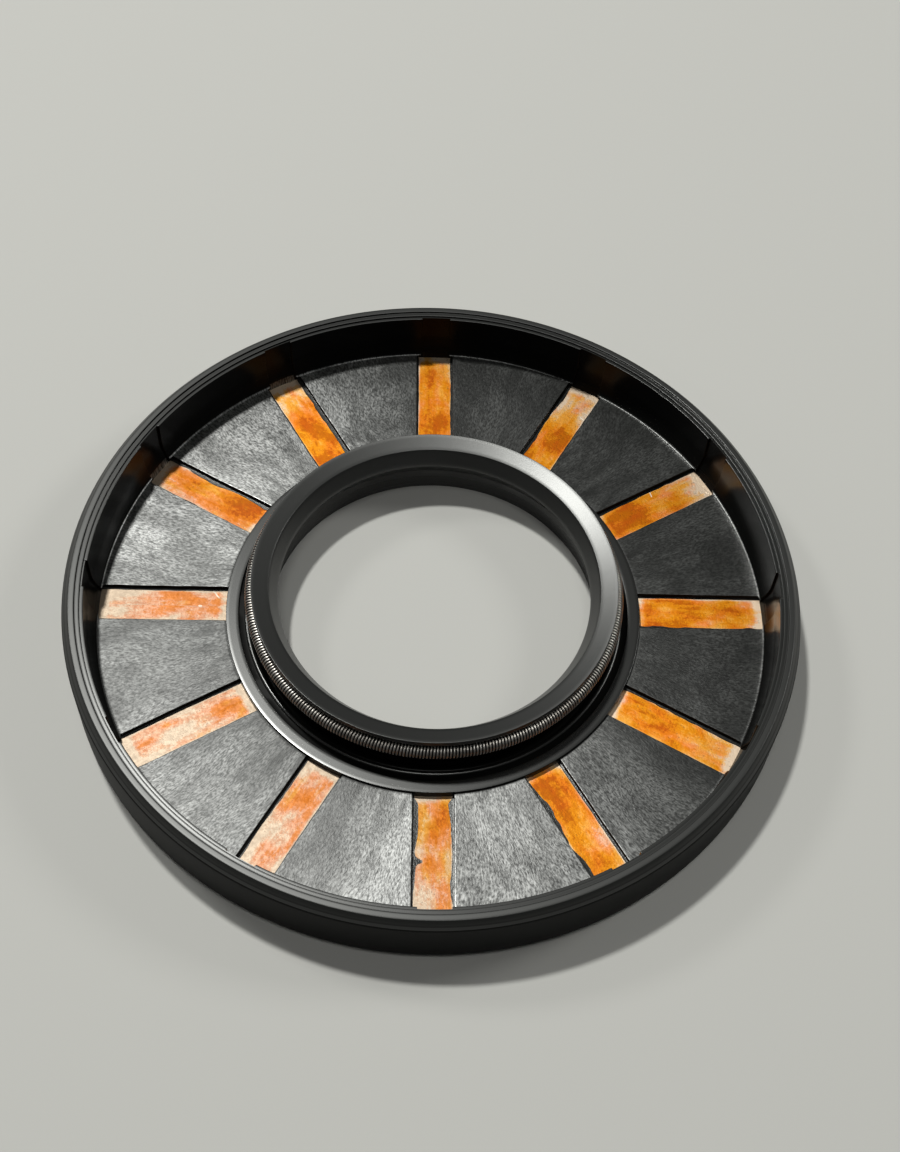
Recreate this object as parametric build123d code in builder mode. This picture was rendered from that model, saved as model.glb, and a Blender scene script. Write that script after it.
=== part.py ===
from build123d import *
from math import cos, radians, sin, sqrt
import os

# Radial shaft seal in millimetres: rubber covered outside, one spring-loaded lip, and a ring
# of windows on the oil side that leave the steel insert bare.
# The axis of rotation is Z, the air-side face lies on z = 0 and the oil side looks up.
# Each piece is a half section turned about Z. Radii are measured from the axis.

# driving sizes: the shaft, the housing bore and the width of the seal
shaft_diameter = 35.0
housing_diameter = 80.0
seal_width = 8.0

# steel insert: a flat disc with a wall standing on its outer edge
insert_thickness = 0.9
insert_bend_radius = 0.9
insert_floor_cover = 0.5
insert_wall_cover = 0.75
insert_top_cover = 1.5
insert_edge_cover = 0.75

# outer wall of the rubber: lead-in at the foot, shoulder at the rim
lead_in_radial = 0.8
lead_in_height = 1.0
shoulder_radial = 0.8
shoulder_height = 1.0

# rim: a flat top face, then two narrow ledges that step down to the lining of the wall
rim_face_width = 0.65
upper_ledge_width = 0.51
upper_ledge_drop = 0.2
lower_ledge_width = 0.39
lower_ledge_drop = 0.4

# lining: straight down from the lower ledge, then curved in to meet the floor at a crease
lining_curve_radius = 5.2
lining_curve_run = 0.72
crease_fillet = 0.2

# rubber floor between the wall and the collar
pad_thickness = 0.6

# windows that show the insert, and the groove in which each one runs on up the lining
window_count = 12
window_width = 4.4
window_end_margin = 1.35
groove_width = 3.4
groove_depth = 0.24
groove_film = 0.12

# collar over the insert's inner edge, with a fine groove and a bead inside it
collar_rise = 0.3
collar_width = 1.4
collar_groove_width = 0.6
collar_groove_depth = 0.3
bead_radius = 0.27

# trough, and the thin neck that lets the lip follow the shaft; the bore widens up to its foot
trough_width = 1.0
trough_floor = 0.9
neck_thickness = 0.85
neck_foot_height = 2.6
bore_clearance = 0.8
bore_taper = 0.3

# lip: the sealing edge, its oil-side cone and the head that carries the spring
lip_interference = 0.37
lip_edge_height = 5.36
oil_cone_radial = 0.98
oil_cone_height = 1.8
head_land_width = 1.89
head_land_rise = 0.5
head_overhang = 0.04
head_edge_radius = 0.06
head_wall = 0.71
mouth_angle = 110.0
keeper_angle = 250.0
keeper_height = 0.5

# garter spring: a closed coil of wire bent into a ring, seated in the head's groove
coil_radius = 0.8
wire_thickness = 0.33
spring_rise = 0.35

# radii and heights that follow from the sizes above
shaft_radius = shaft_diameter / 2
outer_radius = housing_diameter / 2

insert_floor = insert_floor_cover + insert_thickness
insert_top = seal_width - insert_top_cover
insert_outer = outer_radius - insert_wall_cover
insert_wall_face = insert_outer - insert_thickness

rim_inner = outer_radius - shoulder_radial - rim_face_width
upper_ledge_inner = rim_inner - upper_ledge_width
upper_ledge = seal_width - upper_ledge_drop
lining_top = upper_ledge_inner - lower_ledge_width
lining_foot = lining_top - lining_curve_run
lower_ledge = seal_width - lower_ledge_drop

bore_foot = shaft_radius + bore_clearance
bore_top = bore_foot + bore_taper
neck_outer = bore_top + neck_thickness
trough_radius = trough_width / 2
trough_centre = neck_outer + trough_radius
trough_outer = neck_outer + trough_width
trough_shoulder = trough_floor + trough_radius
bead_centre = trough_outer + bead_radius
bead_outer = bead_centre + bead_radius
insert_inner = trough_outer + insert_edge_cover

pad_top = insert_floor + pad_thickness
collar_inner = bead_outer + collar_groove_width
collar_outer = collar_inner + collar_width
collar_top = pad_top + collar_rise
collar_groove_floor = collar_top - collar_groove_depth
window_end = insert_wall_face - window_end_margin
groove_floor = insert_floor + groove_film
groove_wall = lining_top + groove_depth
groove_foot = groove_wall - lining_curve_run
curve_rise = sqrt(2 * lining_curve_radius * lining_curve_run - lining_curve_run**2)
curve_top = pad_top + curve_rise

lip_radius = shaft_radius - lip_interference
land_inner = lip_radius + oil_cone_radial
land_inner_height = lip_edge_height + oil_cone_height
head_outer = land_inner + head_land_width
head_top = land_inner_height + head_land_rise
spring_ring_radius = head_outer - head_overhang
spring_height = lip_edge_height + spring_rise


def coil_point(angle):
    """Point on the coil's section circle, at an angle in degrees up from outwards."""
    turn = radians(angle)
    return (spring_ring_radius + coil_radius * cos(turn), spring_height + coil_radius * sin(turn))


seat_mouth = coil_point(mouth_angle)
seat_back = coil_point(180)
seat_foot = coil_point(keeper_angle)

# steel insert: bent from one sheet, so both corners of the bend share a centre
with BuildPart() as insert:
    with BuildSketch(Plane.XZ) as insert_section:
        with BuildLine():
            Polyline(
                (insert_inner, insert_floor_cover),
                (insert_outer, insert_floor_cover),
                (insert_outer, insert_top),
                (insert_wall_face, insert_top),
                (insert_wall_face, insert_floor),
                (insert_inner, insert_floor),
                close=True,
            )
        make_face()
        corners = insert_section.vertices()
        fillet(
            corners.sort_by_distance((insert_outer, insert_floor_cover))[0],
            insert_bend_radius + insert_thickness,
        )
        corners = insert_section.vertices()
        fillet(corners.sort_by_distance((insert_wall_face, insert_floor))[0], insert_bend_radius)
    revolve(axis=Axis.Z)

# garter spring: a closed-wound coil is a tube of wire, bent into a ring
with BuildPart() as spring:
    with BuildSketch(Plane.XZ):
        with Locations((spring_ring_radius, spring_height)):
            Circle(coil_radius)
            Circle(coil_radius - wire_thickness, mode=Mode.SUBTRACT)
    revolve(axis=Axis.Z)

# space inside the windows: the bare floor, from the collar's side to the foot of the wall
with BuildPart() as window_space:
    with BuildSketch(Plane.XZ):
        with BuildLine():
            Polyline(
                (collar_outer, insert_floor),
                (window_end, insert_floor),
                (window_end, collar_top),
                (collar_outer, collar_top),
                close=True,
            )
        make_face()
    revolve(axis=Axis.Z)
    with BuildSketch(Plane.XY.offset(insert_floor)):
        with PolarLocations(window_end / 2, window_count, start_angle=90):
            Rectangle(window_end, window_width)
    extrude(amount=collar_top - insert_floor, mode=Mode.INTERSECT)

# space inside the grooves: from the windows' ends up the lining and out through its top edge
with BuildPart() as groove_space:
    with BuildSketch(Plane.XZ):
        with BuildLine():
            Polyline(
                (groove_wall, curve_top),
                (groove_wall, lower_ledge),
                (window_end, lower_ledge),
                (window_end, groove_floor),
                (groove_foot, groove_floor),
                (groove_foot, pad_top),
            )
            RadiusArc((groove_foot, pad_top), (groove_wall, curve_top), lining_curve_radius)
        make_face()
    revolve(axis=Axis.Z)
    with BuildSketch(Plane.XY.offset(groove_floor)):
        with PolarLocations(outer_radius / 2, window_count, start_angle=90):
            Rectangle(outer_radius, groove_width)
    extrude(amount=lower_ledge - groove_floor, mode=Mode.INTERSECT)

# rubber body: moulded round the insert in one piece
with BuildPart() as rubber:
    with BuildSketch(Plane.XZ) as rubber_section:
        with BuildLine():
            # outer wall and rim
            Polyline(
                (bore_foot, 0),
                (outer_radius - lead_in_radial, 0),
                (outer_radius, lead_in_height),
                (outer_radius, seal_width - shoulder_height),
                (outer_radius - shoulder_radial, seal_width),
                (rim_inner, seal_width),
                (rim_inner, upper_ledge),
                (upper_ledge_inner, upper_ledge),
                (upper_ledge_inner, lower_ledge),
                (lining_top, lower_ledge),
                (lining_top, curve_top),
            )
            # lining's curve, floor and collar
            RadiusArc((lining_top, curve_top), (lining_foot, pad_top), lining_curve_radius)
            Polyline(
                (lining_foot, pad_top),
                (collar_outer, pad_top),
                (collar_outer, collar_top),
                (collar_inner, collar_top),
                (collar_inner, collar_groove_floor),
                (bead_outer, collar_groove_floor),
            )
            # bead and trough, one half circle over and one under
            ThreePointArc(
                (bead_outer, collar_groove_floor),
                (bead_centre, collar_groove_floor + bead_radius),
                (trough_outer, collar_groove_floor),
            )
            Line((trough_outer, collar_groove_floor), (trough_outer, trough_shoulder))
            ThreePointArc(
                (trough_outer, trough_shoulder),
                (trough_centre, trough_floor),
                (neck_outer, trough_shoulder),
            )
            # neck, and the seat that holds the spring on its inner side
            Polyline((neck_outer, trough_shoulder), (neck_outer, seat_foot[1] - keeper_height), seat_foot)
            ThreePointArc(seat_foot, seat_back, seat_mouth)
            # head, undercut above the spring, then sealing edge and bore
            Polyline(
                seat_mouth,
                (head_outer, head_top - head_wall),
                (head_outer, head_top),
                (land_inner, land_inner_height),
                (lip_radius, lip_edge_height),
                (bore_top, neck_foot_height),
                (bore_foot, 0),
            )
        make_face()
        corners = rubber_section.vertices()
        fillet(corners.sort_by_distance((lining_foot, pad_top))[0], crease_fillet)
        corners = rubber_section.vertices()
        fillet(corners.sort_by_distance((head_outer, head_top))[0], head_edge_radius)
    revolve(axis=Axis.Z)
    add(insert.part, mode=Mode.SUBTRACT)
    add(window_space.part, mode=Mode.SUBTRACT)
    add(groove_space.part, mode=Mode.SUBTRACT)

os.makedirs("parts", exist_ok=True)

insert.part.label = "metal_insert"
export_step(insert.part, "parts/metal_insert.step")

spring.part.label = "garter_spring"
export_step(spring.part, "parts/garter_spring.step")

rubber.part.label = "rubber_body"
export_step(rubber.part, "parts/rubber_body.step")
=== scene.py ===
import math

import bpy
import numpy as np
from mathutils import Matrix, Vector


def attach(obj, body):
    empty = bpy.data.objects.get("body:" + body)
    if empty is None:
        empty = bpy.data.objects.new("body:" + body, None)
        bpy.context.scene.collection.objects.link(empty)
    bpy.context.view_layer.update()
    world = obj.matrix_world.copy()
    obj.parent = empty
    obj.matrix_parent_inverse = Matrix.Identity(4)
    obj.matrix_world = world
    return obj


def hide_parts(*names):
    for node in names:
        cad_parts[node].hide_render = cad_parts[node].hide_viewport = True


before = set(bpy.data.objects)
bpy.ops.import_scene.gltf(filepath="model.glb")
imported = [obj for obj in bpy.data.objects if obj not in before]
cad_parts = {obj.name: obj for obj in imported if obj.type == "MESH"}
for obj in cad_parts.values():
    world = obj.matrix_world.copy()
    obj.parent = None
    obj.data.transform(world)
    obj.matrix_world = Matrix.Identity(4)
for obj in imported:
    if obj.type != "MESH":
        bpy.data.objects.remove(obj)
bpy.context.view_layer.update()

mm = 0.001
scene = bpy.context.scene
scene.view_settings.view_transform = "Standard"
print("frame loaded:", sorted(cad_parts))


# camera: looks down on the oil side from the front
cameraSetup = {
    "place": (-0.004094, -0.098024, 0.157100),
    "headingDeg": -5.629,      # which way it stands off the front, seen from above
    "downDeg": 56.586,         # how steeply it looks down
    "rollDeg": 5.737,
    "lensMm": 51.394,
    "sensorMm": 36,
    "shiftX": -0.03204,
    "shiftY": 0.00294,
    "nearest": 0.01,
}


def makeCamera(s):
    # its back axis comes from heading and steepness; right and up are at right angles, turned by the roll
    heading, down, roll = (math.radians(s[k]) for k in ("headingDeg", "downDeg", "rollDeg"))
    back = Vector((math.cos(down) * math.sin(heading), -math.cos(down) * math.cos(heading), math.sin(down)))
    right = Vector((math.cos(heading), math.sin(heading), 0))
    up = back.cross(right)
    turned = math.cos(roll) * right + math.sin(roll) * up
    upright = math.cos(roll) * up - math.sin(roll) * right
    place = Matrix((turned, upright, back)).transposed().to_4x4()
    place.translation = s["place"]
    data = bpy.data.cameras.new("camera")
    data.sensor_width = s["sensorMm"]
    data.lens = s["lensMm"]
    data.shift_x, data.shift_y = s["shiftX"], s["shiftY"]
    data.clip_start = s["nearest"]
    camera = bpy.data.objects.new("camera", data)
    camera.matrix_world = place
    scene.collection.objects.link(camera)
    scene.camera = camera


makeCamera(cameraSetup)
print("camera placed")


# the seal's driving sizes, in millimetres
seal = {
    "shaftDiameter": 35.0, "housingDiameter": 80.0, "width": 8.0,
    "leadInRadial": 0.8, "leadInHeight": 1.0, "shoulderRadial": 0.8, "shoulderHeight": 1.0,
    "rimFaceWidth": 0.65, "upperLedgeWidth": 0.51, "upperLedgeDrop": 0.2,
    "lowerLedgeWidth": 0.39, "lowerLedgeDrop": 0.4,
    "liningCurveRadius": 5.2, "liningCurveRun": 0.72,
    "insertFloor": 1.4, "insertWallFace": 38.35, "windowEndMargin": 1.35,
    "padThickness": 0.6, "grooveDepth": 0.24, "grooveFilm": 0.12,
    "collarRise": 0.3, "collarWidth": 1.4, "collarGrooveWidth": 0.6, "collarGrooveDepth": 0.3,
    "beadRadius": 0.27, "troughWidth": 1.0, "troughFloor": 0.9,
    "neckThickness": 0.85, "neckFoot": 2.6, "boreClearance": 0.8, "boreTaper": 0.3,
    "lipInterference": 0.37, "lipHeight": 5.36, "oilConeRadial": 0.98, "oilConeHeight": 1.8,
    "headLandWidth": 1.89, "headLandRise": 0.5, "headOverhang": 0.04, "headWall": 0.71,
    "mouthAngle": 110.0, "keeperAngle": 250.0, "keeperHeight": 0.5,
    "coilRadius": 0.8, "springRise": 0.35,
}


def sealSection(d):
    # half section: each radius from the axis and height above the air side is its neighbour's plus a size
    outerRadius = d["housingDiameter"] / 2
    rimInner = outerRadius - d["shoulderRadial"] - d["rimFaceWidth"]
    upperLedgeInner = rimInner - d["upperLedgeWidth"]
    liningTop = upperLedgeInner - d["lowerLedgeWidth"]
    curveRise = math.sqrt(2 * d["liningCurveRadius"] * d["liningCurveRun"] - d["liningCurveRun"] ** 2)
    padTop = d["insertFloor"] + d["padThickness"]
    collarTop = padTop + d["collarRise"]
    boreFoot = d["shaftDiameter"] / 2 + d["boreClearance"]
    boreTop = boreFoot + d["boreTaper"]
    neckOuter = boreTop + d["neckThickness"]
    troughOuter = neckOuter + d["troughWidth"]
    beadOuter = troughOuter + 2 * d["beadRadius"]
    collarInner = beadOuter + d["collarGrooveWidth"]
    lipRadius = d["shaftDiameter"] / 2 - d["lipInterference"]
    landInner = lipRadius + d["oilConeRadial"]
    landInnerHeight = d["lipHeight"] + d["oilConeHeight"]
    headOuter = landInner + d["headLandWidth"]
    headTop = landInnerHeight + d["headLandRise"]
    return {
        **d,
        "outerRadius": outerRadius, "leadInRadius": outerRadius - d["leadInRadial"],
        "shoulderRadius": outerRadius - d["shoulderRadial"],
        "shoulderFoot": d["width"] - d["shoulderHeight"],
        "rimInner": rimInner, "upperLedge": d["width"] - d["upperLedgeDrop"],
        "upperLedgeInner": upperLedgeInner, "lowerLedge": d["width"] - d["lowerLedgeDrop"],
        "liningTop": liningTop, "liningFoot": liningTop - d["liningCurveRun"],
        "curveTop": padTop + curveRise,
        "padTop": padTop, "windowEnd": d["insertWallFace"] - d["windowEndMargin"],
        "grooveFloor": d["insertFloor"] + d["grooveFilm"],
        "collarOuter": collarInner + d["collarWidth"], "collarInner": collarInner,
        "collarTop": collarTop, "collarGroove": collarTop - d["collarGrooveDepth"],
        "beadInner": troughOuter, "beadCentre": troughOuter + d["beadRadius"], "beadOuter": beadOuter,
        "troughCentre": neckOuter + d["troughWidth"] / 2, "troughRadius": d["troughWidth"] / 2,
        "neckOuter": neckOuter, "boreTop": boreTop, "boreFoot": boreFoot,
        "lipRadius": lipRadius, "landInner": landInner, "landInnerHeight": landInnerHeight,
        "headOuter": headOuter, "headTop": headTop, "headWallFoot": headTop - d["headWall"],
        "coilRing": headOuter - d["headOverhang"], "coilHeight": d["lipHeight"] + d["springRise"],
    }


section = sealSection(seal)

# how far each edge of the rubber is rounded, in millimetres, in order from the foot round to the bore
rounding = {
    "foot": 0.15, "leadIn": 0.4, "shoulder": 0.45, "rimOuter": 0.14, "rimInner": 0.07,
    "upperStep": 0.03, "upperLedge": 0.06, "lowerLedge": 0.06, "crease": 0.2,
    "collarOuter": 0.07, "collarInner": 0.08, "collarGroove": 0.05,
    "headWall": 0.08, "headTop": 0.05, "land": 0.07, "lip": 0.04, "bore": 0.3,
}

# how the rubber's mesh is laid out and how its windows' edges run, in millimetres
rubberLook = {
    "sectors": 12,
    "windowHalf": 2.2,
    "grooveHalf": 1.7,
    "padRows": 64,
    "padColumns": 8,
    "windowColumns": 3,
    "curveLeft": 1.6,           # degrees of the lining's curve left to the crease's rounding
    "collarEdge": 0.1,          # the collar's outer side is plain up to this far below its top
    "boreNeck": (0.04, 0.35),   # inwards and down from the bore's top, below its rounding
    "boreHem": 0.08,            # height of the last row above the bore's foot
    "floorSink": 0.05,          # the skin under a window lies this far inside the insert
    "skinEnds": (0.05, 0.02),   # and stops this far inside the window's end and past the collar's side
    "skinRise": 0.14,           # its last row by the collar lies this far below the collar's top
    # steps down from the groove's foot and from the window's end: radius and height over the groove's floor
    "grooveSteps": ((0.0, 0.25), (-0.02, 0.03)),
    "windowSteps": ((0.03, 0.0), (0.0, -0.03)),
    "windowTuck": 0.01,
    "leastDip": 0.05,           # rows that dip less than this show no edge
    "edgeRound": 0.035,
    "roundShare": 0.4,          # no edge is rounded past this share of its depth
    "roundHalf": 0.3,           # where the rounding's middle column lies, as a share of it
    "edgeMargin": 0.06,         # strip of a pad kept plain beside the rounding
    "edgeWander": 0.03,
    "wanderLayers": ((9, 1.0), (40, 0.5)),      # knots along the section, amount
    "filmThickness": 0.05,      # flash that has crept over the insert
    "filmCurl": 1.12,           # how much thicker it stands where it starts
    "filmColumns": (0.02, 0.10, 0.12, 0.13),    # inwards of the edge: start, flat, and round its reach
    "filmLayers": ((14, 0.6), (60, 0.4)),
    "filmReach": (0.01, 1.2),   # least and most
    "edgeMasks": (0.5, 1.0, 0.7, 0.5),          # rounding's middle, edge, film's start, film
    "creep": (0.12, 0.5),       # film's reach and raggedness where nothing else is said
    # and at single edges, by window counted from the back anticlockwise, and side, -1 being clockwise
    "creepAt": {
        (0, -1): (0.18, 0.6), (1, -1): (0.32, 0.6), (1, 1): (0.16, 0.5), (2, -1): (0.30, 0.9),
        (2, 1): (0.22, 0.8), (3, 1): (0.12, 0.9), (5, -1): (0.16, 0.8), (5, 1): (0.12, 0.4),
        (7, -1): (0.34, 1.1), (7, 1): (0.14, 0.4), (8, 1): (0.20, 0.8), (9, -1): (0.22, 1.3),
        (9, 1): (0.06, 0.3), (10, 1): (0.14, 0.9), (11, 1): (0.25, 0.8),
    },
    # and where the reach changes along a window: (distance from the axis, reach)
    "creepAlong": {
        (6, -1): ((23.4, 0.05), (24.1, 0.5), (27.6, 0.42), (29.2, 0.14), (29.8, 0.3), (30.2, 1.1),
                  (30.6, 0.3), (32.4, 0.22), (33.6, 0.06)),
        (6, 1): ((23.4, 0.05), (24.0, 0.48), (26.0, 0.3), (29.5, 0.12), (31.2, 0.2), (32.4, 0.42),
                 (34.0, 0.3), (34.8, 0.08)),
    },
    "creepAlongRagged": 0.25,
    "sharpDeg": 50,             # creases steeper than this stay sharp
    "seed": 7,
}


def lineRun(start, end, count):
    # straight run: start + t (end - start), without its last point
    t = np.linspace(0, 1, count, endpoint=False)[:, None]
    return np.array(start) + t * (np.array(end) - np.array(start))


def arcRun(centre, radius, startDeg, endDeg, count):
    # circle: centre + radius (cos a, sin a), without its last point
    a = np.radians(np.linspace(startDeg, endDeg, count, endpoint=False))
    return np.array(centre) + radius * np.column_stack((np.cos(a), np.sin(a)))


def cornerPath(corners, closing, arcStepDeg=25):
    # each corner is (r, z, rounding, steps before it): straight runs joined by arcs tangent to both; over
    # its sweep w an arc's point is centre + (sin((1 - t) w) start + sin(t w) end) / sin w
    points = np.array([c[:2] for c in corners], float)
    last = np.array(closing, float)
    rows = []
    for i in range(1, len(corners)):
        before, here = points[i - 1], points[i]
        after = points[i + 1] if i + 1 < len(corners) else last
        radius, steps = corners[i][2], corners[i][3]
        toBefore = (before - here) / np.linalg.norm(before - here)
        toAfter = (after - here) / np.linalg.norm(after - here)
        half = math.acos(np.clip(toBefore @ toAfter, -1, 1)) / 2
        reach = radius / math.tan(half)
        bisector = (toBefore + toAfter) / np.linalg.norm(toBefore + toAfter)
        centre = here + bisector * radius / math.sin(half)
        start, end = here + toBefore * reach - centre, here + toAfter * reach - centre
        sweep = math.pi - 2 * half
        arcSteps = max(2, int(round(math.degrees(sweep) / arcStepDeg)))
        t = np.linspace(0, 1, arcSteps + 1)[:, None]
        arc = centre + (np.sin((1 - t) * sweep) * start + np.sin(t * sweep) * end) / math.sin(sweep)
        previous = rows[-1][-1] if rows else before
        rows.append(previous + np.linspace(0, 1, steps + 1)[1:-1, None] * (arc[0] - previous))
        rows.append(arc)
    return np.vstack([points[:1]] + rows)


def outsideRows(s, e):
    # from the bore's foot along the underside, up the outside and over the rim to the lower ledge
    ledgeCorner = (s["upperLedgeInner"], s["lowerLedge"])
    rows = cornerPath([
        (s["boreFoot"], 0, 0, 0),
        (s["leadInRadius"], 0, e["foot"], 9),
        (s["outerRadius"], s["leadInHeight"], e["leadIn"], 2),
        (s["outerRadius"], s["shoulderFoot"], e["shoulder"], 7),
        (s["shoulderRadius"], s["width"], e["rimOuter"], 3),
        (s["rimInner"], s["width"], e["rimInner"], 3),
        (s["rimInner"], s["upperLedge"], e["upperStep"], 2),
        (s["upperLedgeInner"], s["upperLedge"], e["upperLedge"], 3),
    ], ledgeCorner)
    return np.vstack((rows, lineRun(rows[-1], ledgeCorner, 2)[1:]))


def liningRows(s, e, look):
    # down from the lower ledge, round the lining's curve, over the crease and along the pad to the collar,
    # and the same rows inside a window: back by the groove's depth on the wall, then down to the insert
    ledgeCorner = (s["upperLedgeInner"], s["lowerLedge"])
    curveStart = (s["liningTop"], s["curveTop"])
    curveCentre = (s["liningTop"] - s["liningCurveRadius"], s["curveTop"])
    footAngle = -math.degrees(math.acos(1 - s["liningCurveRun"] / s["liningCurveRadius"]))
    ledgeEnd = (s["liningTop"], s["lowerLedge"], e["lowerLedge"], 2)
    ledge = cornerPath([(*ledgeCorner, 0, 0), ledgeEnd], curveStart)
    wall = lineRun(ledge[-1], curveStart, 5)[1:]
    curve = arcRun(curveCentre, s["liningCurveRadius"], 0, footAngle + look["curveLeft"], 12)
    collarSide = (s["collarOuter"], s["padTop"])
    creaseCorner = (s["liningFoot"], s["padTop"], e["crease"], 1)
    crease = cornerPath([(*curve[-1], 0, 0), creaseCorner], collarSide)[1:]
    pad = lineRun(crease[-1], collarSide, look["padRows"])[1:]
    collarFoot = lineRun(collarSide, (s["collarOuter"], s["collarTop"] - look["collarEdge"]), 3)
    plain = np.vstack((ledge, wall, curve, crease, pad, collarFoot))

    depth = s["grooveDepth"]
    sunk = s["insertFloor"] - look["floorSink"]
    grooveFoot = s["liningFoot"] + depth
    dipped = plain.copy()
    wallEnd = len(ledge) + len(wall) + len(curve)
    dipped[1:len(ledge), 0] = np.maximum(ledge[1:, 0], s["liningTop"] + depth)
    dipped[len(ledge) - 1, 0] = s["liningTop"] + depth
    dipped[len(ledge):wallEnd, 0] += depth
    down = np.array(
        [(grooveFoot + r, s["grooveFloor"] + z) for r, z in look["grooveSteps"]]
        + [(s["windowEnd"] + r, s["grooveFloor"] + z) for r, z in look["windowSteps"]]
        + [(s["windowEnd"] - look["windowTuck"], sunk)])
    spread = np.linspace(0, len(down) - 1, len(crease))
    padStart = wallEnd + len(crease)
    for k in (0, 1):
        dipped[wallEnd:padStart, k] = np.interp(spread, np.arange(len(down)), down[:, k])
    padEnd = padStart + len(pad)
    inside, past = look["skinEnds"]
    dipped[padStart:padEnd, 0] = np.linspace(s["windowEnd"] - inside, s["collarOuter"] + past, len(pad))
    dipped[padStart:padEnd, 1] = sunk
    dipped[padEnd:, 1] = np.linspace(sunk, s["collarTop"] - look["skinRise"], len(plain) - padEnd)
    return plain, dipped


def insideRows(s, e, look):
    # over the collar, bead and trough, up the neck, round the spring's seat, over the head, down the bore
    seatFoot, seatMouth = ((s["coilRing"] + s["coilRadius"] * math.cos(math.radians(s[angle])),
                            s["coilHeight"] + s["coilRadius"] * math.sin(math.radians(s[angle])))
                           for angle in ("keeperAngle", "mouthAngle"))
    troughShoulder = s["troughFloor"] + s["troughRadius"]
    keeperFoot = (s["neckOuter"], seatFoot[1] - s["keeperHeight"])
    neckIn, neckDown = look["boreNeck"]
    return np.vstack((
        cornerPath([
            (s["collarOuter"], s["collarTop"] - look["collarEdge"], 0, 0),
            (s["collarOuter"], s["collarTop"], e["collarOuter"], 1),
            (s["collarInner"], s["collarTop"], e["collarInner"], 4),
            (s["collarInner"], s["collarGroove"], e["collarGroove"], 2),
        ], (s["beadOuter"], s["collarGroove"])),
        arcRun((s["beadCentre"], s["collarGroove"]), s["beadRadius"], 0, 180, 10),
        lineRun((s["beadInner"], s["collarGroove"]), (s["beadInner"], troughShoulder), 2),
        arcRun((s["troughCentre"], troughShoulder), s["troughRadius"], 0, -180, 10),
        lineRun((s["neckOuter"], troughShoulder), keeperFoot, 5),
        lineRun(keeperFoot, seatFoot, 2),
        arcRun((s["coilRing"], s["coilHeight"]), s["coilRadius"], s["keeperAngle"], s["mouthAngle"], 12),
        cornerPath([
            (*seatMouth, 0, 0),
            (s["headOuter"], s["headWallFoot"], e["headWall"], 2),
            (s["headOuter"], s["headTop"], e["headTop"], 2),
            (s["landInner"], s["landInnerHeight"], e["land"], 5),
            (s["lipRadius"], s["lipHeight"], e["lip"], 5),
            (s["boreTop"], s["neckFoot"], e["bore"], 5),
        ], (s["boreFoot"], 0)),
        lineRun((s["boreTop"] - neckIn, s["neckFoot"] - neckDown), (s["boreFoot"], look["boreHem"]), 4)[1:],
    ))


outer = outsideRows(section, rounding)
plain, dipped = liningRows(section, rounding, rubberLook)
inner = insideRows(section, rounding, rubberLook)
print("section rows:", len(outer), len(plain), len(inner))


def smoothNoise(rng, count, layers):
    # sum of layers: random values in -1..1 at the knots, joined by cosine steps, times the layer's amount
    total = np.zeros(count)
    for knots, amount in layers:
        values = rng.uniform(-1, 1, knots + 1)
        x = np.linspace(0, knots, count, endpoint=False)
        k = x.astype(int)
        t = (1 - np.cos(np.pi * (x - k))) / 2
        total += amount * (values[k] * (1 - t) + values[k + 1] * t)
    return total


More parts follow.
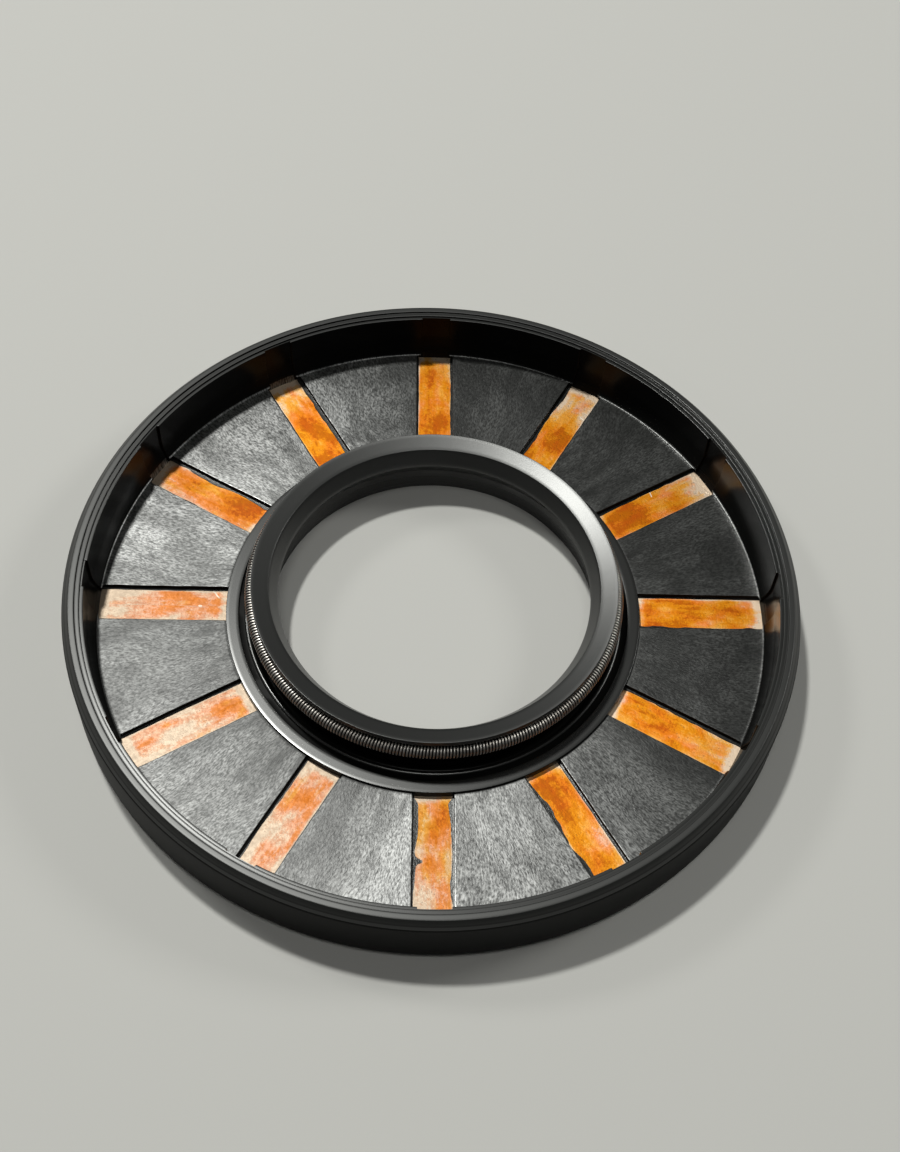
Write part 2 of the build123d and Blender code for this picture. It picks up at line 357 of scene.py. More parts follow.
def rubberGrid(s, look):
    # grid of rows round the section by columns round the axis, each sector centred on a window; a column
    # is a section path turned about the axis by arcsin(reach / radius), so that a window keeps its width
    rng = np.random.default_rng(look["seed"])
    padStart = len(outer) + int(np.argmax(plain[:, 1] < s["padTop"] + 1e-6))
    padEnd = len(outer) + int(np.argmax(plain[:, 0] < s["collarOuter"] + 1e-6)) + 1
    path = np.vstack((outer, plain, inner))
    below = np.vstack((outer, dipped, inner))
    rowCount = len(path)
    inWindow = np.zeros(rowCount)
    inWindow[padStart:padEnd] = 1
    halfWidth = np.where(np.arange(rowCount) < padStart, look["grooveHalf"], look["windowHalf"])
    gap = below - path
    depth = np.hypot(gap[:, 0], gap[:, 1])
    towards = gap / np.maximum(depth, 1e-9)[:, None]
    roundness = np.minimum(look["edgeRound"], look["roundShare"] * depth)
    film = (s["insertFloor"] + look["filmThickness"] - below[:, 1]) * inWindow

    # a column's reach across the window becomes an angle at the row's radius; under the seal and outside,
    # the angle goes evenly from the collar's to the groove's
    grooveAngle = math.asin(look["grooveHalf"] / (s["liningTop"] + s["grooveDepth"]))
    collarAngle = math.asin(look["windowHalf"] / s["collarOuter"])
    reference = np.full(rowCount, s["collarOuter"])
    reference[len(outer):len(outer) + len(plain)] = plain[:, 0]
    outward = np.clip((outer[:, 0] - s["boreFoot"]) / (s["leadInRadius"] - s["boreFoot"]), 0, 1)
    outward[np.argmax(outward):] = 1

    def angleAt(reach):
        angle = np.arcsin(np.clip(reach / reference, -1, 1))
        share = (reach / halfWidth)[:len(outer)]
        angle[:len(outer)] = share * (collarAngle + outward * (grooveAngle - collarAngle))
        return angle

    def raised(height):
        return below + np.column_stack((np.zeros(rowCount), height))

    rounded, half, margin = look["edgeRound"], look["roundHalf"], look["edgeMargin"]
    start, flat, beforeReach, afterReach = look["filmColumns"]
    middleMask, edgeMask, startMask, filmMask = look["edgeMasks"]
    columns = []        # (angle, path, edge mask) per column
    sectorAngle = 2 * math.pi / look["sectors"]
    for sector in range(look["sectors"]):
        centre = math.pi / 2 + sector * sectorAngle
        for side in (-1, 1):
            wander = look["edgeWander"] * smoothNoise(rng, rowCount, look["wanderLayers"]) * inWindow
            reach, ragged = look["creepAt"].get((sector, side), look["creep"])
            if (sector, side) in look["creepAlong"]:
                reach = np.interp(path[:, 0], *np.transpose(look["creepAlong"][sector, side]))
                ragged = look["creepAlongRagged"]
            wave = smoothNoise(rng, rowCount, look["filmLayers"])
            creep = np.clip(reach * (1 + ragged * wave), *look["filmReach"]) * inWindow
            edge = halfWidth + wander
            walls = [
                (edge + rounded + margin, path, 0),
                (edge + rounded, path, 0),
                (edge + half * rounded, path + towards * (half * roundness)[:, None], middleMask),
                (edge, path + towards * roundness[:, None], edgeMask),
                (edge - start, raised(film * look["filmCurl"]), startMask),
                (edge - flat, raised(film), filmMask),
                (edge - beforeReach - creep, raised(film), filmMask),
                (edge - afterReach - creep, below, 0),
            ]
            walls = [(angleAt(across), place, mask) for across, place, mask in walls]
            shares = np.linspace(0, 1, look["padColumns"], endpoint=False)
            pad = [(sectorAngle / 2 * (1 - t) + walls[0][0] * t, path, 0) for t in shares]
            run = pad + walls
            if side < 0:
                firstInner = walls[-1][0]
                columns += [(centre - a, p, m) for a, p, m in run]
            else:
                lastInner = walls[-1][0]
                for t in np.linspace(0, 1, look["windowColumns"] + 2)[1:-1]:
                    columns.append((centre - firstInner * (1 - t) + lastInner * t, below, 0))
                columns += [(centre + a, p, m) for a, p, m in run[:0:-1]]
    angle = np.column_stack([c[0] for c in columns])
    radius = np.column_stack([c[1][:, 0] for c in columns])
    height = np.column_stack([c[1][:, 1] for c in columns])
    mask = np.array([c[2] for c in columns]) * (depth > look["leastDip"])[:, None]
    return angle, radius, height, mask, padStart, padEnd


def gridMesh(name, points, attributes):
    # closed grid: both directions wrap round; faces outward
    rows, cols = points.shape[:2]
    index = np.arange(rows * cols).reshape(rows, cols)
    down, across = np.roll(index, -1, 0), np.roll(index, -1, 1)
    both = np.roll(down, -1, 1)
    quads = np.stack((index, across, both, down), -1).reshape(-1, 4)
    mesh = bpy.data.meshes.new(name)
    mesh.vertices.add(rows * cols)
    mesh.vertices.foreach_set("co", (points * mm).astype(np.float32).ravel())
    mesh.loops.add(quads.size)
    mesh.loops.foreach_set("vertex_index", quads.astype(np.int32).ravel())
    mesh.polygons.add(len(quads))
    mesh.polygons.foreach_set("loop_start", np.arange(0, quads.size, 4, dtype=np.int32))
    mesh.update(calc_edges=True)
    for key, values in attributes.items():
        layer = mesh.attributes.new(key, "FLOAT", "POINT")
        layer.data.foreach_set("value", values.astype(np.float32).ravel())
    mesh.validate()
    mesh.shade_smooth()
    thing = bpy.data.objects.new(name, mesh)
    scene.collection.objects.link(thing)
    return thing


# how rough each stretch of the rubber is
turnedRoughness = {
    "outside": 0.55, "rimFace": 0.40, "ledges": 0.27, "lining": 0.25,
    "pads": 0.32, "collar": 0.27, "head": 0.35,
}

# where one stretch or finish gives way to the next, in millimetres past the size it goes by
zones = {
    "rimDepth": 0.3, "ledgeReach": 0.09, "rimSkin": 0.1, "collarSkin": 0.01,
    "steepRise": 0.6,           # faces whose normal rises less than this count as upright
    "uprightFrom": 0.05, "footSkin": 0.1,
    "recessFloor": 0.5, "troughFrom": 0.05, "troughTo": 0.02,
    "grooveFrom": 0.02, "grooveTo": 0.03, "grooveTop": 0.1,
    "padSkin": 0.15, "filmTop": 0.3, "filmFrom": 0.05,
}


def rowSmoothness(s, r, z, padStart, padEnd):
    # one value a row: 1 - the roughness of its stretch
    rough = np.full(len(outer) + len(plain) + len(inner), r["head"])
    onRim = outer[:, 1] > s["upperLedge"] - z["rimDepth"]
    rough[:len(outer)] = np.where(onRim, r["rimFace"], r["outside"])
    ledges = outer[:, 0] < s["rimInner"] + z["ledgeReach"]
    ledges &= outer[:, 1] > s["lowerLedge"] - z["rimSkin"]
    rough[:len(outer)][ledges] = r["ledges"]
    rough[len(outer):padStart] = r["lining"]
    rough[padStart:padEnd] = r["pads"]
    pastPads = np.concatenate((plain, inner))[padEnd - len(outer):, 1]
    rough[padEnd:] = np.where(pastPads < s["collarTop"] + z["collarSkin"], r["collar"], r["head"])
    return 1 - rough


def faceFinishes(mesh, s, z):
    # each face's finish by its place and slope: 0 gloss, 1 matt in walls and recesses, with a darker black
    # as painted shade, 2 soft on pads, films and rim
    count = len(mesh.polygons)
    normal, centre = np.empty(count * 3, np.float32), np.empty(count * 3, np.float32)
    mesh.polygons.foreach_get("normal", normal)
    mesh.polygons.foreach_get("center", centre)
    normal, centre = normal.reshape(-1, 3), centre.reshape(-1, 3) / mm
    reach, level = np.hypot(centre[:, 0], centre[:, 1]), centre[:, 2]

    def between(values, low, high):
        return (values > low) & (values < high)

    pastCollar = reach > s["collarOuter"]
    upright = (np.abs(normal[:, 2]) < z["steepRise"]) & (level > z["footSkin"])
    upright &= reach > s["collarOuter"] - z["uprightFrom"]
    trough = between(reach, s["neckOuter"] - z["troughFrom"], s["beadInner"] + z["troughTo"])
    trough &= between(level, z["recessFloor"], s["coilHeight"] - s["coilRadius"])
    groove = between(reach, s["beadOuter"] - z["grooveFrom"], s["collarInner"] + z["grooveTo"])
    groove &= between(level, z["recessFloor"], s["collarTop"] - z["grooveTop"])
    pads = (np.abs(level - s["padTop"]) < z["padSkin"]) & pastCollar
    film = between(level, s["insertFloor"], s["padTop"] - z["filmTop"])
    film &= between(reach, s["collarOuter"] + z["filmFrom"], s["windowEnd"])
    rim = (level > s["lowerLedge"] - z["rimSkin"]) & (reach > s["liningTop"] - z["rimSkin"])
    finish = np.where(pads | rim | film, 2, 0)
    finish[upright | trough | groove] = 1
    mesh.polygons.foreach_set("material_index", finish.astype(np.int32))


angle, radius, height, edgeMask, padStart, padEnd = rubberGrid(section, rubberLook)
rubberPoints = np.stack((radius * np.cos(angle), radius * np.sin(angle), height), -1)
smoothness = rowSmoothness(section, turnedRoughness, zones, padStart, padEnd)
rubber = gridMesh("moulded_rubber", rubberPoints,
                  {"edge": edgeMask, "smoothness": np.repeat(smoothness, radius.shape[1])})
rubber.data.set_sharp_from_angle(angle=math.radians(rubberLook["sharpDeg"]))
faceFinishes(rubber.data, section, zones)
evenShading = rubber.modifiers.new("evenShading", "WEIGHTED_NORMAL")
evenShading.keep_sharp = True
print("rubber mesh:", radius.shape, len(rubber.data.polygons) * 2, "triangles")


# the garter spring's wire, in millimetres
springLook = {
    "ring": section["coilRing"], "height": section["coilHeight"],
    "coil": 0.64, "wire": 0.145, "turns": 371, "stepsPerTurn": 12, "wireSides": 8,
}


def springPoints(s):
    # coil path: ring radius + coil cos(b), height + coil sin(b), b = turns times the ring angle;
    # the wire's circle is swept along it on the path's own normal and binormal
    count = s["turns"] * s["stepsPerTurn"]
    a = np.linspace(0, 2 * np.pi, count, endpoint=False)
    b = a * s["turns"]
    outward = np.column_stack((np.cos(a), np.sin(a), 0 * a))
    up = np.array((0.0, 0.0, 1.0))
    spoke = outward * np.cos(b)[:, None] + up * np.sin(b)[:, None]
    path = outward * s["ring"] + up * s["height"] + spoke * s["coil"]
    along = np.roll(path, -1, 0) - np.roll(path, 1, 0)
    along /= np.linalg.norm(along, axis=1)[:, None]
    side = np.cross(along, spoke)
    side /= np.linalg.norm(side, axis=1)[:, None]
    c = np.linspace(0, 2 * np.pi, s["wireSides"], endpoint=False)
    circle = spoke[:, None] * np.cos(c)[None, :, None] + side[:, None] * np.sin(c)[None, :, None]
    return path[:, None] + s["wire"] * circle, np.tile(np.cos(c), count)


points, crest = springPoints(springLook)
spring = gridMesh("wound_spring", points, {"crest": crest})
print("spring mesh:", len(spring.data.polygons) * 2, "triangles")


def feed(tree, node, inputs):
    # each input takes another node's output, or else a value
    for key, value in (inputs or {}).items():
        if isinstance(value, bpy.types.NodeSocket):
            tree.links.new(value, node.inputs[key])
        else:
            node.inputs[key].default_value = value
    return node


def put(tree, kind, inputs=None, **settings):
    # adds a node, sets its properties and feeds its inputs
    made = tree.nodes.new("ShaderNode" + kind)
    for key, value in settings.items():
        setattr(made, key, value)
    return feed(tree, made, inputs)


def maths(tree, operation, *values):
    return put(tree, "Math", dict(enumerate(values)), operation=operation).outputs[0]


def times(tree, first, *others):
    # product of all the values
    for value in others:
        first = maths(tree, "MULTIPLY", first, value)
    return first


def mixture(tree, values, amounts):
    # sum of two values, each times its amount
    return maths(tree, "ADD", times(tree, values[0], amounts[0]), times(tree, values[1], amounts[1]))


def vectorMaths(tree, operation, *values):
    return put(tree, "VectorMath", dict(enumerate(values)), operation=operation).outputs[0]


def scaled(tree, vector, amount):
    return put(tree, "VectorMath", {0: vector, "Scale": amount}, operation="SCALE").outputs[0]


def dot(tree, first, second):
    return put(tree, "VectorMath", {0: first, 1: second}, operation="DOT_PRODUCT").outputs["Value"]


def ramp(tree, value, low, high, toLow=0.0, toHigh=1.0):
    # low..high of value becomes toLow..toHigh, eased at both ends
    sockets = {"Value": value, "From Min": low, "From Max": high, "To Min": toLow, "To Max": toHigh}
    return put(tree, "MapRange", sockets, interpolation_type="SMOOTHSTEP").outputs["Result"]


def blendColour(tree, share, first, second):
    return put(tree, "Mix", {"Factor": share, 6: first, 7: second}, data_type="RGBA").outputs[2]


def blendVector(tree, share, first, second):
    return put(tree, "Mix", {"Factor": share, 4: first, 5: second}, data_type="VECTOR").outputs[1]


def noise(tree, vector, scale, detail=2.0, roughness=0.5, distortion=0.0, stretch=None):
    # soft noise around 0.5; stretch multiplies the place first, so that less than 1 draws it out
    if stretch:
        vector = vectorMaths(tree, "MULTIPLY", vector, stretch)
    return put(tree, "TexNoise", {
        "Vector": vector, "Scale": scale, "Detail": detail, "Roughness": roughness, "Distortion": distortion,
    }).outputs["Fac"]


def newGroup(name, inputs, outputs):
    # an empty shader group with named sockets: returns its tree, what comes in and what goes out
    tree = bpy.data.node_groups.new(name, "ShaderNodeTree")
    for direction, sockets in (("INPUT", inputs), ("OUTPUT", outputs)):
        for label, kind in sockets.items():
            tree.interface.new_socket(label, in_out=direction, socket_type="NodeSocket" + kind)
    return tree, tree.nodes.new("NodeGroupInput").outputs, tree.nodes.new("NodeGroupOutput").inputs


def placeNodes(tree):
    # where a point is, in millimetres: distance from the axis, height, and its place along and across the
    # nearest window, found from its angle round the axis
    place = vectorMaths(tree, "MULTIPLY", put(tree, "TexCoord").outputs["Object"], (1 / mm, 1 / mm, 1 / mm))
    parts = put(tree, "SeparateXYZ", {0: place}).outputs
    flat = put(tree, "CombineXYZ", {0: parts[0], 1: parts[1]}).outputs[0]
    fromAxis = put(tree, "VectorMath", {0: flat}, operation="LENGTH").outputs["Value"]
    direction = vectorMaths(tree, "NORMALIZE", flat)
    sweep = maths(tree, "ARCTAN2", parts[1], parts[0])
    sector = 2 * math.pi / rubberLook["sectors"]
    window = maths(tree, "ROUND", maths(tree, "DIVIDE", sweep, sector))
    local = maths(tree, "SUBTRACT", sweep, times(tree, window, sector))
    return {
        "place": place, "direction": direction, "radius": fromAxis, "height": parts[2], "window": window,
        "along": times(tree, fromAxis, maths(tree, "COSINE", local)),
        "across": times(tree, fromAxis, maths(tree, "SINE", local)),
    }


# grain of the pads: each pattern's stretch is two parts round the ring and one outwards
brushLook = {
    "fanRadius": 30.0,          # the pattern keeps its size round the ring at this distance from the axis
    "drift": {"scale": 0.10, "amount": (3.5, 3.5, 2)},
    "streak": {"stretch": (1, 1, 0.36), "scale": 6.5, "detail": 2.0, "roughness": 0.6},
    "cloud": {"stretch": (1, 1, 0.45), "scale": 0.3, "detail": 5.0, "roughness": 0.68},
    "curl": {"stretch": (1, 1, 0.42), "scale": 5.0, "detail": 3.0, "roughness": 0.62, "distortion": 0.7},
    "grain": {"scale": 9.0, "detail": 2.0, "roughness": 0.6},
    "smear": {"stretch": (1, 1, 0.2), "scale": 0.9, "detail": 2.0, "roughness": 0.6},
    "smearFrom": (0.5, 0.66), "smearFade": (29.0, 24.5),
}


def makeBrushedGroup(b):
    # grain combed outward from the axis: streaks, drifting clouds, curls, even grain, smears by the collar;
    # its pattern lies on a fan, round the ring by direction and outwards by radius, so it has no seam
    inputs = {"Direction": "Vector", "Radius": "Float", "Place": "Vector"}
    outputs = dict.fromkeys(("Streak", "Cloud", "Curl", "Grain", "Smear"), "Float")
    tree, given, out = newGroup("brushedGrain", inputs, outputs)
    outwards = put(tree, "CombineXYZ", {2: given["Radius"]}).outputs[0]
    fan = vectorMaths(tree, "ADD", scaled(tree, given["Direction"], b["fanRadius"]), outwards)
    drift = put(tree, "TexNoise", {"Vector": given["Place"], "Scale": b["drift"]["scale"], "Detail": 0.0})
    drift = vectorMaths(tree, "MULTIPLY", drift.outputs["Color"], b["drift"]["amount"])
    bent = vectorMaths(tree, "ADD", fan, drift)
    wiped = ramp(tree, noise(tree, bent, **b["smear"]), *b["smearFrom"])
    for label, value in (
        ("Streak", noise(tree, bent, **b["streak"])),
        ("Cloud", noise(tree, bent, **b["cloud"])),
        ("Curl", noise(tree, bent, **b["curl"])),
        ("Grain", noise(tree, given["Place"], **b["grain"])),
        ("Smear", times(tree, wiped, ramp(tree, given["Radius"], *b["smearFade"]))),
    ):
        tree.links.new(value, out[label])
    return tree


def lobe(tree, direction, azimuthDeg, reachDeg):
    # 1 towards an azimuth, easing to 0 at the reach on either side of it
    a, reach = math.radians(azimuthDeg), math.radians(reachDeg)
    return ramp(tree, dot(tree, direction, (math.cos(a), math.sin(a), 0)), math.cos(reach), 1.0)


def lineMark(tree, place, start, end, halfWidth, core=0.4):
    # 1 on the straight line from start to end, out to its core, easing to 0 at its half width: the gap is
    # measured to the line's nearest point, start + share (end - start)
    run = np.subtract(end, start)
    away = vectorMaths(tree, "SUBTRACT", place, (*start, section["insertFloor"]))
    share = put(tree, "Clamp", {"Value": dot(tree, away, (*(run / (run @ run)), 0))}).outputs[0]
    nearest = scaled(tree, (*run, 0), share)
    gap = put(tree, "VectorMath", {0: away, 1: nearest}, operation="DISTANCE").outputs["Value"]
    return ramp(tree, gap, halfWidth, core * halfWidth)


def newMaterial(name):
    material = bpy.data.materials.new(name)
    material.use_nodes = True
    return material, material.node_tree, material.node_tree.nodes["Principled BSDF"]


def attribute(tree, name):
    return put(tree, "Attribute", attribute_name=name).outputs["Fac"]


brushedGroup = makeBrushedGroup(brushLook)

# the rubber's three finishes: colours are linear, lobes are (azimuth, reach, amount) in degrees
rubberFinish = {
    "black": (0.008, 0.0083, 0.0078, 1), "powder": (0.034, 0.036, 0.034, 1),
    "specular": 1.0, "hazeAndSheen": 0.0, "rimHaze": 0.0, "hazeRoughness": 0.36, "hazeIndex": 2.2,
    # painted sheen: lobes of lighter, glossier powder where the pads catch the lamps' glare, over a real
    # bloom
    "sheenLobes": ((-73, 38, 0.95), (136, 47, 1.1)),
    "smeared": 0.6, "rubbedLobe": (208, 62, 0.14),
    # how far each pattern thins or thickens the haze: from low..high to least..most
    "cloudHaze": (0.38, 0.64, 0.5, 1.27), "streakHaze": (0.32, 0.68, 0.25, 1.65),
    "curlHaze": (0.38, 0.64, 0.75, 1.2), "edgeHaze": (0.0, 0.3, 1.0, 0.0),
    "combed": (0.6, 0.5), "combedRoughness": (0.5, 0.85, -0.03, 0.05),      # shares of cloud and streak
    "bumpHeight": 0.010 * mm,
    "padRelief": (0.7, 2.6),    # depths of streak and curl
    "evenRelief": (0.14, 0.6),  # depth of the even grain elsewhere and on the head's land
}
# matt: walls and recesses reflect little, and their black is darker, a painted shade
mattFinish = {**rubberFinish, "black": (0.004, 0.0041, 0.0039, 1), "specular": 0.1}
softFinish = {**rubberFinish, "specular": 0.5, "hazeAndSheen": 0.26, "rimHaze": 0.1}

# where the pads' grain and the land's lie: heights and radii between which a mask goes from 0 to 1
grainZones = {
    "padInner": (section["collarOuter"], section["collarOuter"] + 0.3),
    "padOuter": (section["liningTop"] + 0.4, section["liningTop"] + 0.2),
    "padAbove": (section["padTop"] + 0.2, section["padTop"] + 0.05),
    "padBelow": (section["insertFloor"] - 0.3, section["insertFloor"] - 0.1),
    "rimHeight": (section["lowerLedge"] - 0.1, section["lowerLedge"] - 0.05),
    "landHeight": (6.9, 7.1), "landRadius": (20.4, 20.2),
}


def makeRubber(name, f, z):
    # black moulding: combed, hazy pads with a painted sheen towards two directions; a smoother lining; a
    # fine even grain elsewhere
    material, tree, shader = newMaterial(name)
    at = placeNodes(tree)
    grain = tree.nodes.new("ShaderNodeGroup")
    grain.node_tree = brushedGroup
    feed(tree, grain, {"Direction": at["direction"], "Radius": at["radius"], "Place": at["place"]})
    grain = grain.outputs

    def zone(radiusKey, heightKey):
        return times(tree, ramp(tree, at["radius"], *z[radiusKey]), ramp(tree, at["height"], *z[heightKey]))

    onPads = times(tree, zone("padInner", "padAbove"), zone("padOuter", "padBelow"))

    # bloom with painted sheen: an even layer, and lobes of painted sheen towards the directions where the
    # pads catch the lamps' glare, thinned by the grain and wiped off the edges
    hazeAndSheen = f["hazeAndSheen"]
    for azimuth, reach, amount in f["sheenLobes"]:
        hazeAndSheen = maths(tree, "ADD", times(tree, lobe(tree, at["direction"], azimuth, reach), amount), hazeAndSheen)
    cloud = ramp(tree, grain["Cloud"], *f["cloudHaze"])
    streak = ramp(tree, grain["Streak"], *f["streakHaze"])
    curl = ramp(tree, grain["Curl"], *f["curlHaze"])
    kept = maths(tree, "SUBTRACT", 1.0, times(tree, grain["Smear"], f["smeared"]))
    flat = ramp(tree, attribute(tree, "edge"), *f["edgeHaze"])
    onRim = ramp(tree, at["height"], *z["rimHeight"])
    hazeAndSheen = times(tree, hazeAndSheen, onPads, flat, cloud, streak, curl, kept)
    hazeAndSheen = maths(tree, "MAXIMUM", hazeAndSheen, times(tree, onRim, f["rimHaze"]))

    # roughness: each stretch's own, more where the pads are rubbed, and uneven in the combed grain
    rubbed = times(tree, lobe(tree, at["direction"], *f["rubbedLobe"][:2]), onPads, f["rubbedLobe"][2])
    combed = mixture(tree, (grain["Cloud"], grain["Streak"]), f["combed"])
    rough = maths(tree, "ADD", maths(tree, "SUBTRACT", 1.0, attribute(tree, "smoothness")), rubbed)
    rough = maths(tree, "ADD", rough, times(tree, ramp(tree, combed, *f["combedRoughness"]), onPads))

    padRelief = mixture(tree, (grain["Streak"], grain["Curl"]), f["padRelief"])
    onLand = zone("landRadius", "landHeight")
    evenRelief = times(tree, grain["Grain"], ramp(tree, onLand, 0, 1, *f["evenRelief"]))
    relief = maths(tree, "ADD", times(tree, padRelief, onPads), evenRelief)
    bump = put(tree, "Bump", {"Height": relief, "Distance": f["bumpHeight"]})
    # the powder colour follows the bloom and its painted sheen
    feed(tree, shader, {
        "Base Color": blendColour(tree, hazeAndSheen, f["black"], f["powder"]), "Roughness": rough,
        "Specular IOR Level": f["specular"], "Coat Weight": hazeAndSheen, "Coat Roughness": f["hazeRoughness"],
        "Coat IOR": f["hazeIndex"], "Normal": bump.outputs[0],
    })
    return material


def colourRamp(tree, value, stops):
    # value runs through the colours at their places, eased between them
    made = put(tree, "ValToRGB", {"Fac": value})
    made.color_ramp.interpolation = "EASE"
    elements = made.color_ramp.elements
    for place, colour in stops[2:]:
        elements.new(place)
    for element, (place, colour) in zip(elements, stops):
        element.position, element.color = place, colour
    return made.outputs["Color"]


# bonding lacquer on the insert: lobes are (azimuth, reach, amount) in degrees, places in millimetres
lacquerFinish = {
    # colours from thin to thick
    "colours": ((0.0, (0.73, 0.575, 0.435, 1)), (0.27, (0.75, 0.43, 0.24, 1)),
                (0.48, (0.76, 0.31, 0.07, 1)), (0.76, (0.68, 0.22, 0.010, 1)),
                (1.0, (0.48, 0.115, 0.004, 1))),
    "redTint": (1.0, 0.86, 1.05), "yellowTint": (1.0, 1.12, 0.72), "redLobe": (205, 80, 0.24),
    "hue": {"stretch": (0.5, 1, 1), "scale": 0.7}, "hueFrom": (0.38, 0.68), "tintFrom": (0.0, 0.5),
    # thickness: a level, then how much comes off at the ends, the borders and by direction; what comes off
    # by direction is painted glare, paler lacquer where the lamps glare on it
    "thickness": 0.6, "thinEnds": 0.56, "thinBorder": 0.5, "inwards": 0.3, "middle": 0.14,
    "innerEnd": (section["collarOuter"] + 1.1, section["collarOuter"] + 0.2),
    "outerEnd": (section["windowEnd"] - 1.3, section["windowEnd"] - 0.3),
    "inwardsFrom": (section["windowEnd"], 26.0), "middleFrom": (2.1, 0.4),
    "border": (2.0, 2.25), "borderWander": 0.5,
    # painted glare: paler lacquer towards the left, and over the windows' outer halves towards the back
    # right
    "glareLobe": (216, 85, 0.50), "glareEndLobe": (48, 46, 0.20), "glareEndFrom": (28.5, 33.5),
    # patterns in the thickness, and how much each adds
    "blotch": {"stretch": (0.5, 0.8, 1), "scale": 0.5},
    "streak": {"stretch": (0.22, 1.8, 1), "scale": 1.3, "detail": 3.0, "roughness": 0.6},
    "mottle": {"scale": 2.2, "detail": 4.0, "roughness": 0.65},
    "fine": {"scale": 5.0, "detail": 3.0, "roughness": 0.7},
    "amounts": {"blotch": 1.7, "streak": 0.55, "mottle": 0.65, "fine": 0.4},
    "windowShift": 7.3,         # carries the patterns on from one window to the next
    "stain": (0.10, 0.03, 0.008, 1), "stainScale": 4.5, "stainFrom": (0.17, 0.12), "stained": 0.45,
    # nicks that bare the metal: (x, y) of both ends, half width
    "nicks": (((-24.75, 2.15), (-23.95, 1.1), 0.1), ((-26.03, 0.0), (-25.85, 0.0), 0.17),
              ((18.27, 27.44), (17.72, 27.99), 0.09), ((25.41, 17.09), (25.63, 16.30), 0.09)),
    "bare": (0.92, 0.84, 0.72, 1), "bared": 0.85,
    "paintedShadeLobes": ((215, 120, 0.55), (62, 75, 0.84)),     # painted shade towards two directions: azimuth, reach, what is left of the light
    "roughness": (0.3, 0.7, 0.50, 0.58), "metallic": 1.0, "coat": 0.12, "coatRoughness": 0.36,
    "bumpHeight": 0.03 * mm, "relief": (0.7, 0.5),       # shares of mottle and fine grain
}


def makeLacquer(f):
    # orange where it lies thick, peach then cream where it has run thin, and where glare is painted on as
    # thinner lacquer
    material, tree, shader = newMaterial("lacquered_steel")
    at = placeNodes(tree)
    along, across = at["along"], maths(tree, "ABSOLUTE", at["across"])
    shift = times(tree, at["window"], f["windowShift"])
    window = put(tree, "CombineXYZ", {0: along, 1: at["across"], 2: shift}).outputs[0]
    fields = {key: noise(tree, window, **f[key]) for key in ("blotch", "streak", "mottle")}
    fields["fine"] = noise(tree, at["place"], **f["fine"])

    def towards(key):
        # a lobe of the finish, times its amount
        azimuth, reach, amount = f[key]
        return times(tree, lobe(tree, at["direction"], azimuth, reach), amount)

    # thickness: a level, less a painted glare by direction (thinner lacquer is paler) and what has run off
    # at the ends, plus patches and streaks
    thick = maths(tree, "SUBTRACT", f["thickness"], towards("glareLobe"))
    # painted glare over the outer halves of the windows towards the back right
    glareAtEnds = times(tree, towards("glareEndLobe"), ramp(tree, along, *f["glareEndFrom"]))
    thick = maths(tree, "SUBTRACT", thick, glareAtEnds)
    ends = maths(tree, "MAXIMUM", ramp(tree, along, *f["innerEnd"]), ramp(tree, along, *f["outerEnd"]))
    thick = maths(tree, "SUBTRACT", thick, times(tree, ends, f["thinEnds"]))
    for key, amount in f["amounts"].items():
        thick = maths(tree, "ADD", thick, times(tree, maths(tree, "SUBTRACT", fields[key], 0.5), amount))
    thick = maths(tree, "ADD", thick, times(tree, ramp(tree, across, *f["middleFrom"]), f["middle"]))
    inwards = ramp(tree, along, *f["inwardsFrom"], -f["inwards"] / 2, f["inwards"] / 2)
    thick = maths(tree, "ADD", thick, inwards)
    ragged = maths(tree, "ADD", across, times(tree, fields["mottle"], f["borderWander"]))
    thick = maths(tree, "SUBTRACT", thick, times(tree, ramp(tree, ragged, *f["border"]), f["thinBorder"]))

    # colour follows thickness, warmer or yellower in patches where it is thick
    colour = colourRamp(tree, thick, f["colours"])
    hue = maths(tree, "ADD", noise(tree, window, **f["hue"]), towards("redLobe"))
    tint = blendVector(tree, ramp(tree, hue, *f["hueFrom"]), f["yellowTint"], f["redTint"])
    tint = blendVector(tree, ramp(tree, thick, *f["tintFrom"]), (1, 1, 1), tint)
    colour = vectorMaths(tree, "MULTIPLY", colour, tint)
    spots = ramp(tree, times(tree, noise(tree, window, f["stainScale"]), fields["mottle"]), *f["stainFrom"])
    colour = blendColour(tree, times(tree, spots, f["stained"]), colour, f["stain"])
    for start, end, halfWidth in f["nicks"]:
        nick = lineMark(tree, at["place"], start, end, halfWidth)
        colour = blendColour(tree, times(tree, nick, f["bared"]), colour, f["bare"])
    # painted shade: the lacquer's colour is darkened towards two directions round the axis
    for azimuth, reach, left in f["paintedShadeLobes"]:
        facing = lobe(tree, at["direction"], azimuth, reach)
        colour = scaled(tree, colour, ramp(tree, facing, 0, 1, 1.0, left))
    relief = mixture(tree, (fields["mottle"], fields["fine"]), f["relief"])
    bump = put(tree, "Bump", {"Height": relief, "Distance": f["bumpHeight"]})
    feed(tree, shader, {
        "Base Color": colour, "Roughness": ramp(tree, fields["mottle"], *f["roughness"]),
        "Metallic": f["metallic"], "Coat Weight": f["coat"], "Coat Roughness": f["coatRoughness"],
        "Normal": bump.outputs[0],
    })
    return material


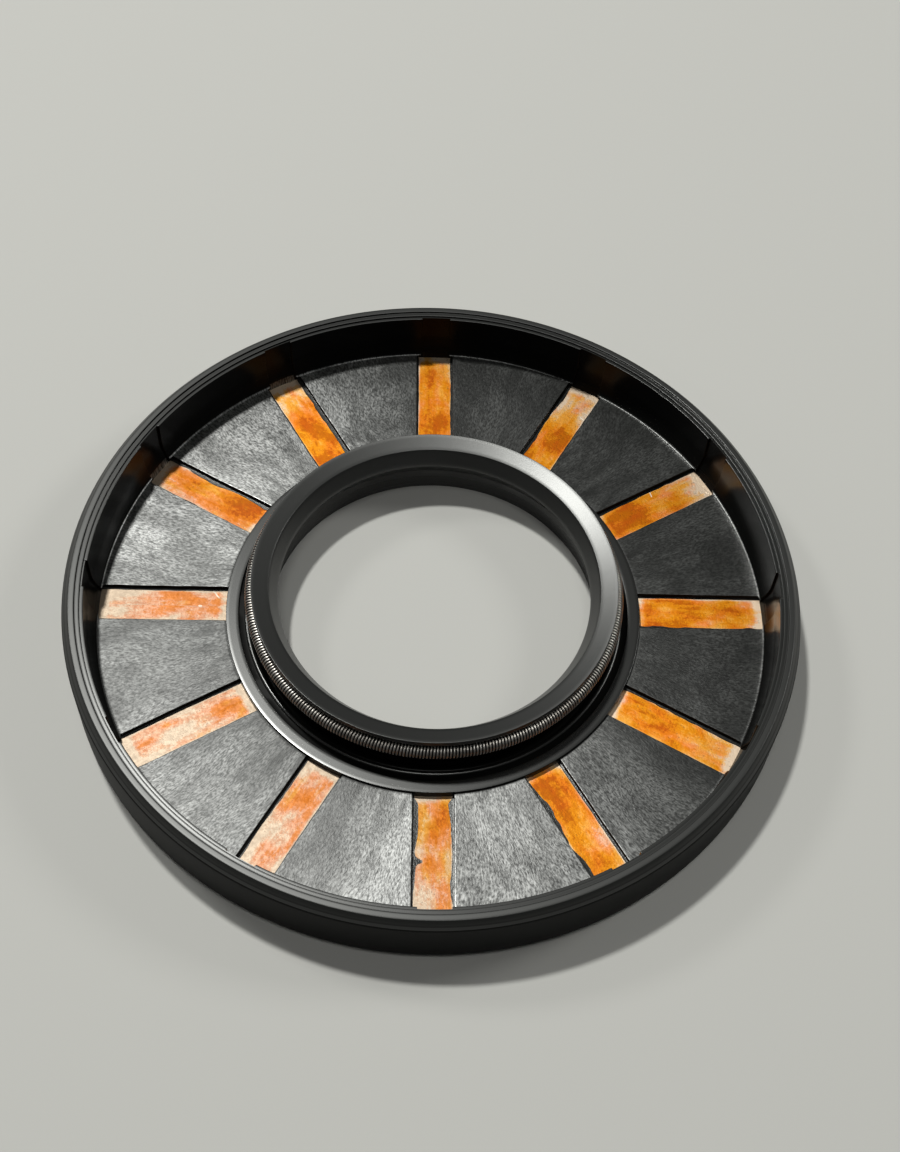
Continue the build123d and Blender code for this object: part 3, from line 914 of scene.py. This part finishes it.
wireFinish = {
    "bright": (0.92, 0.88, 0.83, 1), "dull": (0.70, 0.65, 0.60, 1), "gapShade": (0.02, 0.018, 0.016, 1),
    "patch": {"scale": 0.5, "detail": 3.0, "roughness": 0.6}, "patchFrom": (0.35, 0.65),
    "fine": {"scale": 14.0}, "roughness": (0.3, 0.7, 0.36, 0.46), "metallic": 1.0,
    "crestFrom": (0.35, 0.9),   # painted shade fills the gap between turns up to here on the wire's own circle
    "bumpHeight": 0.003 * mm,
}


def makeWire(f):
    # drawn spring wire, brighter in patches, with painted shade darkening it between the turns
    material, tree, shader = newMaterial("spring_wire")
    place = placeNodes(tree)["place"]
    fine = noise(tree, place, **f["fine"])
    patch = ramp(tree, noise(tree, place, **f["patch"]), *f["patchFrom"])
    metal = blendColour(tree, patch, f["dull"], f["bright"])
    # painted shade: the wire's colour goes dark where it faces round towards its neighbours
    colour = blendColour(tree, ramp(tree, attribute(tree, "crest"), *f["crestFrom"]), f["gapShade"], metal)
    bump = put(tree, "Bump", {"Height": fine, "Distance": f["bumpHeight"]})
    feed(tree, shader, {"Base Color": colour, "Roughness": ramp(tree, fine, *f["roughness"]),
                        "Metallic": f["metallic"], "Normal": bump.outputs[0]})
    return material


rubberFinishes = {"black_rubber": rubberFinish, "matt_rubber": mattFinish, "soft_rubber": softFinish}
for name, finish in rubberFinishes.items():
    rubber.data.materials.append(makeRubber(name, finish, grainZones))
spring.data.materials.append(makeWire(wireFinish))
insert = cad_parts["metal_insert"]
insert.data.materials.clear()
insert.data.materials.append(makeLacquer(lacquerFinish))
print("materials made")

for thing, node, slot in ((rubber, "rubber_body", "rubber"), (spring, "garter_spring", "spring_steel")):
    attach(thing, "root")
    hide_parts(node)


# studio: a pale floor and soft lamps, each given by the direction it shines from
lamps = {
    "overhead": {"azimuth": 125, "elevation": 66.5, "distance": 0.9, "size": 0.07, "power": 5.4},
    "backLeft": {"azimuth": 142, "elevation": 42, "distance": 0.9, "size": 0.16, "power": 1.2},
    "zenith": {"azimuth": 270, "elevation": 77, "distance": 0.9, "size": 0.26, "power": 1.0},
    "right": {"azimuth": 22, "elevation": 36, "distance": 0.9, "size": 0.24, "power": 1.5},
    "left": {"azimuth": 186, "elevation": 34, "distance": 0.9, "size": 0.3, "power": 0.14},
}
lampColour = (1.0, 1.01, 0.96)
# the floor shows its colour to the camera and in reflections, and lights the seal by its shade
floorLook = {
    "size": 3.0, "colour": (0.52, 0.515, 0.50, 1), "shade": (0.09, 0.088, 0.085, 1), "roughness": 0.8,
}
skyColour = (0.048, 0.049, 0.049, 1)


def makeLamp(name, s):
    # a round lamp at a distance in its direction, turned to face the seal
    azimuth, elevation = math.radians(s["azimuth"]), math.radians(s["elevation"])
    level = math.cos(elevation)
    direction = Vector((level * math.cos(azimuth), level * math.sin(azimuth), math.sin(elevation)))
    data = bpy.data.lights.new(name, "AREA")
    data.shape = "DISK"
    data.size, data.energy = s["size"], s["power"]
    data.color = lampColour
    lamp = bpy.data.objects.new(name, data)
    lamp.location = direction * s["distance"]
    lamp.rotation_euler = direction.to_track_quat("Z", "Y").to_euler()
    scene.collection.objects.link(lamp)


def makeFloor(f):
    # one square, centred under the seal
    mesh = bpy.data.meshes.new("floor")
    h = f["size"] / 2
    mesh.from_pydata([(-h, -h, 0), (h, -h, 0), (h, h, 0), (-h, h, 0)], [], [(0, 1, 2, 3)])
    material, tree, shader = newMaterial("pale_floor")
    rays = tree.nodes.new("ShaderNodeLightPath").outputs
    shows = maths(tree, "MAXIMUM", rays["Is Camera Ray"], rays["Is Glossy Ray"])
    shows = maths(tree, "MAXIMUM", shows, rays["Is Transmission Ray"])
    colour = blendColour(tree, shows, f["shade"], f["colour"])
    feed(tree, shader, {"Base Color": colour, "Roughness": f["roughness"]})
    mesh.materials.append(material)
    floor = bpy.data.objects.new("floor", mesh)
    scene.collection.objects.link(floor)
    return floor


for name, settings in lamps.items():
    makeLamp(name, settings)
floor = makeFloor(floorLook)
world = bpy.data.worlds.new("studio")
world.use_nodes = True
world.node_tree.nodes["Background"].inputs["Color"].default_value = skyColour
scene.world = world
print("studio lit")
